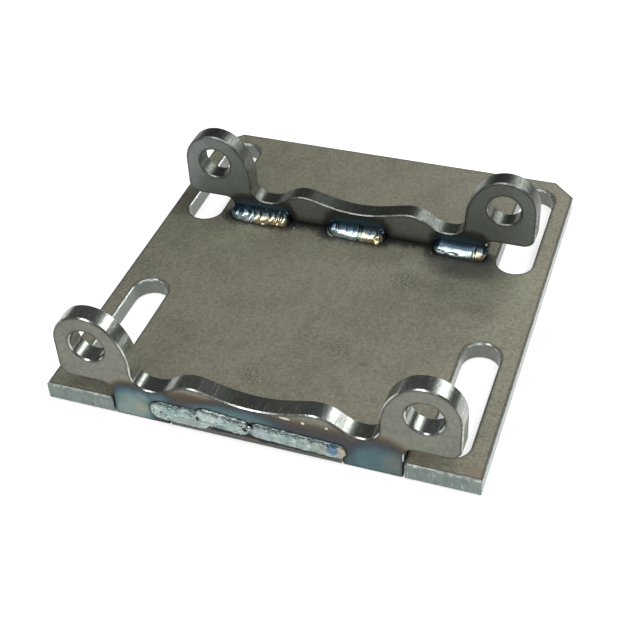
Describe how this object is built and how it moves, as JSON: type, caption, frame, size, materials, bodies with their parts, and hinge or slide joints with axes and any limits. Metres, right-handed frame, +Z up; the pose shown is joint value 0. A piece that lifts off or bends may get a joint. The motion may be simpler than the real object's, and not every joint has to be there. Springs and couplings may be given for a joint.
{
  "type": "motor mounting bracket",
  "caption": "Flat steel base plate with slotted fixing holes and lug rails welded across it, whose aligned pivot holes carry a motor's cradle.",
  "frame": {"origin": "middle of the base plate's underside", "axes": "+X along the lug rails to the right, +Y from the front rail to the rear rail, +Z up out of the plate"},
  "size_m": [0.13, 0.1414, 0.0349],
  "materials": {
    "plate_steel": "bare hot-rolled mill skin, laser-cut edges",
    "rail_steel": "bare mill skin with heat tint beside the welds, laser-cut edges",
    "weld_metal": "rippled weld metal, bright to straw and blue"
  },
  "bodies": {
    "root": {"base_plate": "plate_steel", "front_lug_rail": "rail_steel", "rear_lug_rail": "rail_steel", "front_weld": "weld_metal", "rear_weld_left": "weld_metal", "rear_weld_middle": "weld_metal", "rear_weld_right": "weld_metal"}
  },
  "joints": []
}
